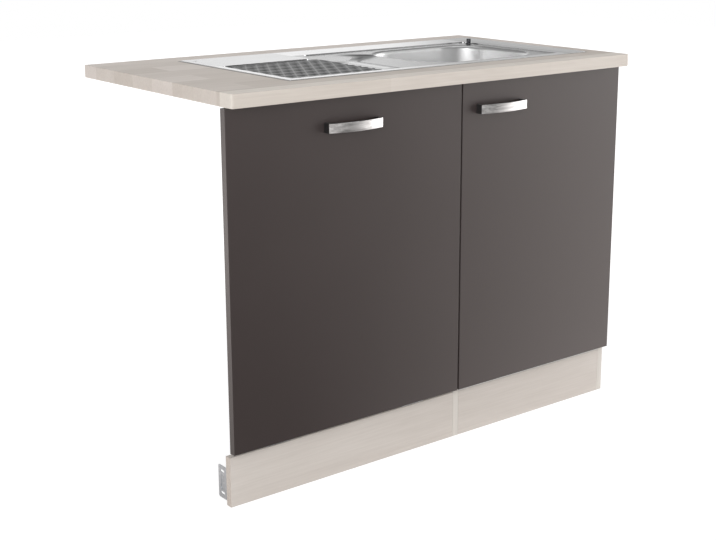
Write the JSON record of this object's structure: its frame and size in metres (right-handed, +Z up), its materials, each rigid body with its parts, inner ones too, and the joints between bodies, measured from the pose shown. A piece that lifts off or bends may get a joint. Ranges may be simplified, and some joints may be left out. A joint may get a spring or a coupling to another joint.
{
  "type": "kitchen sink unit",
  "caption": "Kitchen sink unit: hinged-door sink cabinet, open appliance bay with drop front, worktop with inset drainer sink, bottle trap and plinth.",
  "frame": {"origin": "on the floor, under the middle of the worktop", "axes": "+X to the right seen from the front, +Y to the wall behind, +Z up"},
  "size_m": [1.1, 0.6, 0.8607],
  "materials": {
    "worktop": "pale acacia decor on chipboard",
    "carcass": "pale acacia decor on chipboard",
    "front": "anthracite satin melamine on chipboard",
    "sink_steel": "fine brushed stainless steel",
    "handle_steel": "brushed nickel",
    "zinc": "zinc plated steel",
    "screw_steel": "zinc plated steel",
    "knob_chrome": "polished chrome",
    "white_plastic": "moulded white polypropylene",
    "black_plastic": "moulded black plastic",
    "rubber": "soft black rubber",
    "foam": "grey foam strip",
    "dowel_wood": "turned beech"
  },
  "bodies": {
    "unit": {"worktop": "worktop", "side_panel_left": "carcass", "side_panel_right": "carcass", "bottom_panel": "carcass", "front_rail": "carcass", "rear_rail_upper": "carcass", "rear_rail_lower": "carcass", "plinth_cabinet": "carcass", "plinth_appliance_bay": "carcass", "plinth_bracket_left": "zinc", "plinth_bracket_right": "zinc", "plinth_bracket_screws": "screw_steel", "cabinet_plinth_angles": "zinc", "cabinet_plinth_screws": "screw_steel", "dowels": "dowel_wood", "cam_bolts": "screw_steel", "cam_locks": "zinc", "worktop_angles": "zinc", "worktop_angle_screws": "screw_steel", "sink": "sink_steel", "sink_seal": "foam", "sink_clips": "zinc", "sink_clip_screws": "screw_steel", "strainer_cup": "sink_steel", "waste_sleeve_screw": "sink_steel", "waste_gasket": "rubber", "waste_body": "white_plastic", "overflow_rosette": "sink_steel", "overflow_gasket": "rubber", "overflow_elbow": "white_plastic", "overflow_pipe": "white_plastic", "tailpiece": "white_plastic", "union_nut": "white_plastic", "trap_body": "white_plastic", "trap_cup": "white_plastic", "outlet_pipe": "white_plastic", "outlet_nut": "white_plastic", "spigot_cap": "white_plastic", "knob_housing": "knob_chrome", "remote_cable": "black_plastic", "hinge_mounting_plates": "zinc", "hinge_plate_screws": "screw_steel", "hinge_arms": "zinc", "front_hinge_lower_leaves": "zinc", "front_hinge_pins": "screw_steel", "front_hinge_lower_screws": "screw_steel"},
    "hinge_link_pack": {"hinge_links": "zinc"},
    "door": {"cabinet_door": "front", "door_handle": "handle_steel", "door_handle_screws": "screw_steel", "hinge_cups": "zinc", "hinge_cup_screws": "screw_steel", "door_bumpers": "white_plastic"},
    "drop_front": {"appliance_front": "front", "front_handle": "handle_steel", "front_handle_screws": "screw_steel", "front_hinge_upper_leaves": "zinc", "front_hinge_upper_screws": "screw_steel"},
    "knob": {"waste_knob": "knob_chrome"},
    "plug": {"drain_plug": "sink_steel"}
  },
  "joints": [
    {"name": "hinge_link_slide", "type": "slide", "parent": "unit", "child": "hinge_link_pack", "axis": [0.1483, -0.9889, 0], "range_m": [0, 0.0203]},
    {"name": "cabinet_door_hinge", "type": "hinge", "parent": "hinge_link_pack", "child": "door", "pos_m": [0.538, -0.262, 0.4675], "axis": [0, 0, 1], "range_deg": [0, 105]},
    {"name": "appliance_front_hinge", "type": "hinge", "parent": "unit", "child": "drop_front", "pos_m": [-0.25, -0.252, 0.1113], "axis": [1, 0, 0], "range_deg": [0, 90]},
    {"name": "waste_knob_turn", "type": "hinge", "parent": "unit", "child": "knob", "pos_m": [0.415, 0.113, 0.855], "axis": [0, 0, 1], "range_deg": [0, 90]},
    {"name": "plug_lift", "type": "slide", "parent": "unit", "child": "plug", "axis": [0, 0, 1], "range_m": [0, 0.008]}
  ],
  "couplings": [
    {"joint": "hinge_link_slide", "follows": "cabinet_door_hinge", "m_per_rad": 0.011036},
    {"joint": "waste_knob_turn", "follows": "plug_lift", "rad_per_m": 196.35}
  ]
}
